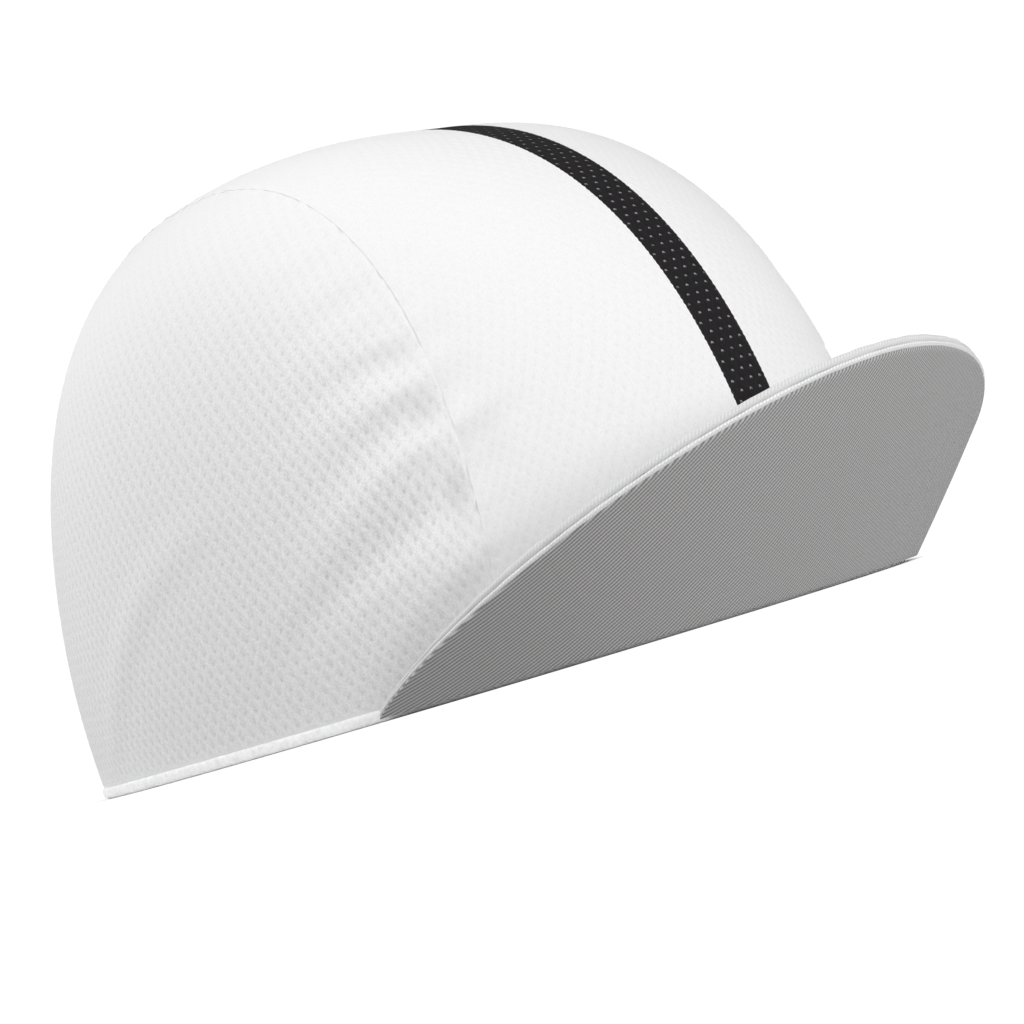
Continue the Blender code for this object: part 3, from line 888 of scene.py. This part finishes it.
class Finish:
    """Short ways to add and link the nodes of one material."""

    def __init__(self, name, colour, roughness, sheen):
        self.material = bpy.data.materials.new(name)
        self.material.use_nodes = True
        self.tree = self.material.node_tree
        self.shader = self.tree.nodes["Principled BSDF"]
        self.shader.inputs["Base Color"].default_value = (*colour, 1)
        self.shader.inputs["Roughness"].default_value = roughness
        self.shader.inputs["Sheen Weight"].default_value = sheen
        self.shader.inputs["Sheen Roughness"].default_value = SHEEN_ROUGHNESS
        self.shader.inputs["Specular IOR Level"].default_value = SPECULAR_LEVEL
        self.cloth = self.node("ShaderNodeAttribute", {}, attribute_name="cloth").outputs["Vector"]
        self.place = self.node("ShaderNodeTexCoord", {}).outputs["Object"]

    def put(self, socket, value):
        if isinstance(value, bpy.types.NodeSocket):
            self.tree.links.new(value, socket)
        else:
            socket.default_value = value

    def node(self, kind, inputs, **settings):
        node = self.tree.nodes.new(kind)
        for key, value in settings.items():
            setattr(node, key, value)
        for name, value in inputs.items():
            self.put(node.inputs[name], value)
        return node

    def maths(self, operation, *values):
        return self.node("ShaderNodeMath", dict(enumerate(values)), operation=operation).outputs[0]

    def times(self, first, second):
        return self.maths("MULTIPLY", first, second)

    def plus(self, first, second):
        return self.maths("ADD", first, second)

    def split(self, vector):
        return self.node("ShaderNodeSeparateXYZ", {"Vector": vector}).outputs

    def ramp(self, value, low, high, to_low=0.0, to_high=1.0):
        inputs = {"Value": value, "From Min": low, "From Max": high,
                  "To Min": to_low, "To Max": to_high}
        node = self.node("ShaderNodeMapRange", inputs, interpolation_type="SMOOTHSTEP")
        return node.outputs["Result"]

    def wave(self, value, turns):
        return self.maths("SINE", self.times(value, turns * 2 * math.pi))

    def turns(self, value):
        """1 at each whole number, -1 half way between."""
        return self.maths("COSINE", self.times(value, 2 * math.pi))

    def scaled(self, colour, share):
        node = self.node("ShaderNodeVectorMath", {}, operation="SCALE")
        self.put(node.inputs[0], colour)
        self.put(node.inputs["Scale"], share)
        return node.outputs[0]

    def noise(self, vector, scale, detail=2.0):
        inputs = {"Vector": vector, "Scale": scale, "Detail": detail}
        return self.node("ShaderNodeTexNoise", inputs).outputs["Fac"]

    def blend(self, share, first, second):
        node = self.node("ShaderNodeMix", {}, data_type="RGBA")
        self.put(node.inputs[0], share)
        for socket, colour in ((node.inputs[6], first), (node.inputs[7], second)):
            self.put(socket, colour if isinstance(colour, bpy.types.NodeSocket) else (*colour, 1))
        return node.outputs[2]

    def colour(self, value):
        self.put(self.shader.inputs["Base Color"], value)

    def roughness(self, value):
        self.put(self.shader.inputs["Roughness"], value)

    def relief(self, height_mm):
        """Bump from a height in millimetres."""
        inputs = {"Height": height_mm, "Distance": MM, "Strength": 1.0}
        self.put(self.shader.inputs["Normal"], self.node("ShaderNodeBump", inputs).outputs[0])


def knit_pit(finish, u, v, shift_u, shift_v):
    """Nearly round spots: 1 in the middle of each pit, shifted by shares of a pit and a row."""
    moved_v = finish.plus(v, shift_v)
    half_turns = finish.turns(finish.times(moved_v, 0.5))
    rounding = finish.times(half_turns, finish.maths("ABSOLUTE", half_turns))
    return finish.times(finish.turns(finish.plus(u, shift_u)), rounding)


def knit_finish(name, colours, sheen, speck):
    """Dimpled mesh knit: slanting strands round soft hollows, with a dark pit low in each; the
    darkening of hollows and pits is painted shade.

    With speck, a bright speck takes the place of the dark pit.
    """
    strand, hollow, dark = colours
    finish = Finish(name, strand, 0.88, sheen)
    # depth: strength of the painted shade in hollows and pits; in the stripe only its fade at the
    # edges
    u, v, depth = finish.split(finish.cloth)
    half_row = finish.times(v, 0.5)
    across = finish.maths("SUBTRACT", u, half_row)
    along = finish.plus(u, half_row)
    threads = finish.node("ShaderNodeCombineXYZ", {"X": finish.times(across, 9.0),
                                                   "Y": finish.times(along, 3.4)})
    fibre = finish.noise(threads.outputs[0], 1.0, 1.5)
    fuzz = finish.noise(finish.place, 3300.0, 2.0)
    grain = finish.noise(finish.place, 1300.0, 2.0)
    ragged = finish.maths("SUBTRACT", finish.plus(fibre, grain), 1.0)
    falling_strand = finish.ramp(finish.plus(finish.turns(across), ragged), 0.3, -1.0)
    rising_strand = finish.ramp(finish.plus(finish.turns(along), ragged), 0.2, -1.1)
    strands = finish.maths("MAXIMUM", falling_strand, finish.times(rising_strand, 0.8))

    spot = knit_pit(finish, u, v, 0.06, 0.24)
    pit = finish.ramp(finish.plus(spot, finish.times(ragged, 0.5)), 0.45, 1.0)
    # Hollows darker than the strands: painted shade
    painted_hollow_shade = finish.times(finish.maths("SUBTRACT", 1.0, strands), depth)
    cloth = finish.blend(painted_hollow_shade, strand, hollow)
    if speck:
        bright = finish.ramp(fuzz, 0.42, 0.68)
        cloth = finish.blend(bright, cloth, finish.scaled(cloth, 2.2))
        below = finish.ramp(knit_pit(finish, u, v, 0.06, 0.40), 0.66, 0.86, 1.0, 0.0)
        share = finish.times(finish.ramp(spot, 0.62, 0.82), below)
        share = finish.times(share, finish.ramp(grain, 0.2, 0.55))
        share = finish.times(share, depth)
    else:
        share = finish.times(pit, depth)
    # Dark pits in the white knit: painted shade; the black knit's bright specks are its own colour
    cloth = finish.blend(share, cloth, dark)
    # Darker fibres in a random grain, scaled by the painted shade strength, so fainter on parts
    # that face up; roughly follows that strength and also scales the bump
    tangle = finish.times(finish.plus(fibre, fuzz), 0.5)
    roughly = finish.ramp(depth, 0.0, 1.0, 0.3, 1.0)
    grain_and_painted_shade = finish.times(finish.ramp(tangle, 0.64, 0.36), roughly)
    finish.colour(finish.blend(grain_and_painted_shade, cloth, finish.scaled(cloth, 0.83)))
    height = finish.plus(finish.times(pit, -0.07), finish.times(strands, 0.04))
    height = finish.plus(height, finish.times(tangle, 0.11))
    finish.relief(finish.times(height, roughly))
    finish.roughness(finish.ramp(fuzz, 0.3, 0.7, 0.8, 0.95))
    return finish.material


def twill_finish(name, look):
    """Fine twill: strong slanting ridges and a weaker thread across them."""
    light, dark, height_mm = look
    finish = Finish(name, light, 0.8, 0.05)
    u, w, _ = finish.split(finish.cloth)
    grain = finish.noise(finish.place, 1800.0, 2.0)
    wobble = finish.times(finish.noise(finish.place, 90.0, 1.0), 0.5)
    across = finish.maths("SUBTRACT", finish.times(u, math.sin(TWILL_ANGLE)),
                          finish.times(w, math.cos(TWILL_ANGLE)))
    along = finish.plus(finish.times(u, math.cos(TWILL_ANGLE)),
                        finish.times(w, math.sin(TWILL_ANGLE)))
    ridge = finish.wave(finish.plus(across, wobble), 1 / TWILL_PITCH_MM)
    thread = finish.wave(along, 1 / TWILL_PITCH_MM)
    weave = finish.plus(finish.times(ridge, 0.55), finish.times(thread, 0.16))
    weave = finish.plus(weave, finish.times(grain, 0.3))
    tone = finish.ramp(weave, -0.35, 0.65)
    finish.colour(finish.blend(tone, dark, light))
    finish.relief(finish.times(weave, height_mm))
    finish.roughness(finish.ramp(grain, 0.3, 0.7, 0.72, 0.88))
    return finish.material


def jersey_finish(name, colours):
    """Brushed jersey: fine ribs under a short nap."""
    base, dark = colours
    finish = Finish(name, base, 0.92, 0.2)
    u, v, _ = finish.split(finish.cloth)
    ribs = finish.wave(u, 1 / RIB_PITCH_MM)
    swayed = finish.plus(v, finish.times(ribs, 0.15))
    loops = finish.wave(swayed, 1 / LOOP_PITCH_MM)
    nap = finish.noise(finish.place, 1200.0, 4.0)
    clumps = finish.noise(finish.place, 160.0, 2.0)
    finish.colour(finish.blend(finish.ramp(clumps, 0.35, 0.65), dark, base))
    height = finish.plus(finish.times(ribs, 0.02), finish.times(loops, 0.012))
    finish.relief(finish.plus(height, finish.times(nap, 0.12)))
    return finish.material


def hem_finish(name, colours):
    """Stretched knit over a rolled edge: faint ribs across the roll under a thick fuzz."""
    base, dark = colours
    finish = Finish(name, base, 0.88, 0.12)
    u, _, _ = finish.split(finish.cloth)
    ribs = finish.wave(u, 1 / RIB_PITCH_MM)
    fuzz = finish.noise(finish.place, 1500.0, 3.0)
    clumps = finish.noise(finish.place, 500.0, 2.0)
    tangle = finish.times(finish.plus(fuzz, clumps), 0.5)
    finish.colour(finish.blend(finish.ramp(tangle, 0.36, 0.6), dark, base))
    height = finish.plus(finish.times(ribs, 0.012), finish.times(fuzz, 0.12))
    finish.relief(finish.plus(height, finish.times(clumps, 0.12)))
    return finish.material


# Studio

CAMERA_AZIMUTH = math.radians(-43.96)
CAMERA_HEIGHT = 0.008
CAMERA_DISTANCE = 0.6203
CAMERA_TARGET = Vector((0.0033, MIDDLE_Y - 0.0160, 0.0350))
CAMERA_ROLL = math.radians(16.66)
CAMERA_LENS = 99.1
CAMERA_SENSOR = 36.0
LIGHTS = (
    # name, place, size, watts
    ("top", (0.25, 0.35, 1.30), 1.1, 2.3),
    ("front", (0.20, -1.15, 0.30), 0.8, 10.9),
    ("side", (-0.90, 0.30, 1.00), 0.9, 9.0),
    ("fill", (-0.75, -0.80, 0.90), 0.9, 4.8),
    ("back", (-0.50, 1.00, 0.80), 0.9, 5.8),
)
LIGHT_TARGET = (0, 0, 0.05)
WORLD_LIGHT = 0.04
WHITE_GLOW = 1.05
FLOOR_HALF_SIZE = 4.0
FLOOR_COLOUR = (0.93,) * 3
FLOOR_BOUNCE = 0.64
# As shares of the rim's outline: the floor is matt up to the first and glows from the second
FLOOR_MATT_REACH = 1.00
FLOOR_GLOW_REACH = 1.06


def add_camera():
    """At the photo's angle to the cap, with the photo's roll, just above the floor."""
    level = math.sqrt(CAMERA_DISTANCE ** 2 - (CAMERA_TARGET.z - CAMERA_HEIGHT) ** 2)
    place = CAMERA_TARGET + Vector((math.sin(CAMERA_AZIMUTH), -math.cos(CAMERA_AZIMUTH), 0)) * level
    place.z = CAMERA_HEIGHT
    forward = (CAMERA_TARGET - place).normalized()
    right = forward.cross(Vector((0, 0, 1))).normalized()
    up = right.cross(forward)
    rolled_right = right * math.cos(CAMERA_ROLL) - up * math.sin(CAMERA_ROLL)
    rolled_up = right * math.sin(CAMERA_ROLL) + up * math.cos(CAMERA_ROLL)
    turn = Matrix((rolled_right, rolled_up, -forward)).transposed().to_4x4()
    data = bpy.data.cameras.new("camera")
    data.lens = CAMERA_LENS
    data.sensor_width = CAMERA_SENSOR
    data.clip_start = 0.01
    camera = add_object("camera", data)
    camera.matrix_world = Matrix.Translation(place) @ turn
    bpy.context.scene.camera = camera


def add_area_light(name, place, size, watts):
    data = bpy.data.lights.new(name, "AREA")
    data.size = size
    data.energy = watts
    light = add_object(name, data)
    light.location = place
    aim = Vector(LIGHT_TARGET) - Vector(place)
    light.rotation_euler = aim.to_track_quat("-Z", "Y").to_euler()


def floor_finish():
    """Matt white under the cap and, from just outside its rim, white that glows of itself.

    The glow looks white to the camera and gives less light than that to the cap.
    """
    paint = bpy.data.materials.new("floor_paint")
    paint.use_nodes = True
    tree = paint.node_tree
    add, link = tree.nodes.new, tree.links.new
    matt = tree.nodes["Principled BSDF"]
    matt.inputs["Base Color"].default_value = (*FLOOR_COLOUR, 1)
    matt.inputs["Roughness"].default_value = 1.0
    matt.inputs["Specular IOR Level"].default_value = 0.0
    seen = add("ShaderNodeEmission")
    seen.inputs["Strength"].default_value = WHITE_GLOW
    bounce = add("ShaderNodeEmission")
    bounce.inputs["Strength"].default_value = FLOOR_BOUNCE
    rays = add("ShaderNodeLightPath")
    glow = add("ShaderNodeMixShader")
    link(rays.outputs["Is Camera Ray"], glow.inputs[0])
    link(bounce.outputs[0], glow.inputs[1])
    link(seen.outputs[0], glow.inputs[2])
    place = add("ShaderNodeTexCoord")
    from_middle = add("ShaderNodeVectorMath")
    from_middle.operation = "SUBTRACT"
    from_middle.inputs[1].default_value = (0, MIDDLE_Y, 0)
    shares = add("ShaderNodeVectorMath")
    shares.operation = "DIVIDE"
    shares.inputs[1].default_value = (RIM_HALF_WIDTH, HALF_LENGTH, 1)
    length = add("ShaderNodeVectorMath")
    length.operation = "LENGTH"
    share = add("ShaderNodeMapRange")
    share.interpolation_type = "SMOOTHSTEP"
    share.inputs["From Min"].default_value = FLOOR_MATT_REACH
    share.inputs["From Max"].default_value = FLOOR_GLOW_REACH
    chosen = add("ShaderNodeMixShader")
    link(place.outputs["Object"], from_middle.inputs[0])
    link(from_middle.outputs["Vector"], shares.inputs[0])
    link(shares.outputs["Vector"], length.inputs[0])
    link(length.outputs["Value"], share.inputs["Value"])
    link(share.outputs["Result"], chosen.inputs[0])
    link(matt.outputs[0], chosen.inputs[1])
    link(glow.outputs[0], chosen.inputs[2])
    link(chosen.outputs[0], tree.nodes["Material Output"].inputs["Surface"])
    return paint


def add_studio():
    """White floor, white surroundings and five large soft lamps."""
    world = bpy.data.worlds.new("studio")
    world.use_nodes = True
    tree = world.node_tree
    add, link = tree.nodes.new, tree.links.new
    soft = tree.nodes["Background"]
    soft.inputs["Strength"].default_value = WORLD_LIGHT
    seen = add("ShaderNodeBackground")
    seen.inputs["Strength"].default_value = WHITE_GLOW
    for background in (soft, seen):
        background.inputs["Color"].default_value = (1, 1, 1, 1)
    rays = add("ShaderNodeLightPath")
    chosen = add("ShaderNodeMixShader")
    link(rays.outputs["Is Camera Ray"], chosen.inputs[0])
    link(soft.outputs[0], chosen.inputs[1])
    link(seen.outputs[0], chosen.inputs[2])
    link(chosen.outputs[0], tree.nodes["World Output"].inputs["Surface"])
    bpy.context.scene.world = world
    for name, place, size, watts in LIGHTS:
        add_area_light(name, place, size, watts)

    mesh = bpy.data.meshes.new("floor")
    half = FLOOR_HALF_SIZE
    corners = [(-half, -half, 0), (half, -half, 0), (half, half, 0), (-half, half, 0)]
    mesh.from_pydata(corners, [], [(0, 1, 2, 3)])
    floor = add_object("floor", mesh)
    mesh.materials.append(floor_finish())
    bpy.context.scene.view_settings.view_transform = "Standard"


def main():
    add_camera()
    add_studio()
    white = knit_finish("white_knit", WHITE_KNIT, 0.1, False)
    black = knit_finish("black_stripe", BLACK_KNIT, 0.0, True)
    cover = twill_finish("peak_cover", PEAK_COVER)
    edge = twill_finish("peak_edge", PEAK_EDGE)
    twill = twill_finish("peak_twill", PEAK_TWILL)
    jersey = jersey_finish("band_jersey", BAND_JERSEY)
    hem = hem_finish("rolled_hem", ROLLED_HEM)

    add_side_panel("side_panel_right", -1, white)
    add_side_panel("side_panel_left", 1, white)
    add_centre_panel(white)
    add_stripe(black)
    add_rim_hem(hem)
    add_hem_stitches(hem)
    add_sweatband(jersey)
    add_peak_cover("peak_top", 1, TOP_THICKNESS, cover)
    add_peak_cover("peak_underside", -1, UNDERSIDE_THICKNESS, twill)
    add_peak_roll("peak_top_roll", TOP_ROLL, edge)
    add_peak_roll("peak_underside_roll", UNDERSIDE_ROLL, cover)


main()
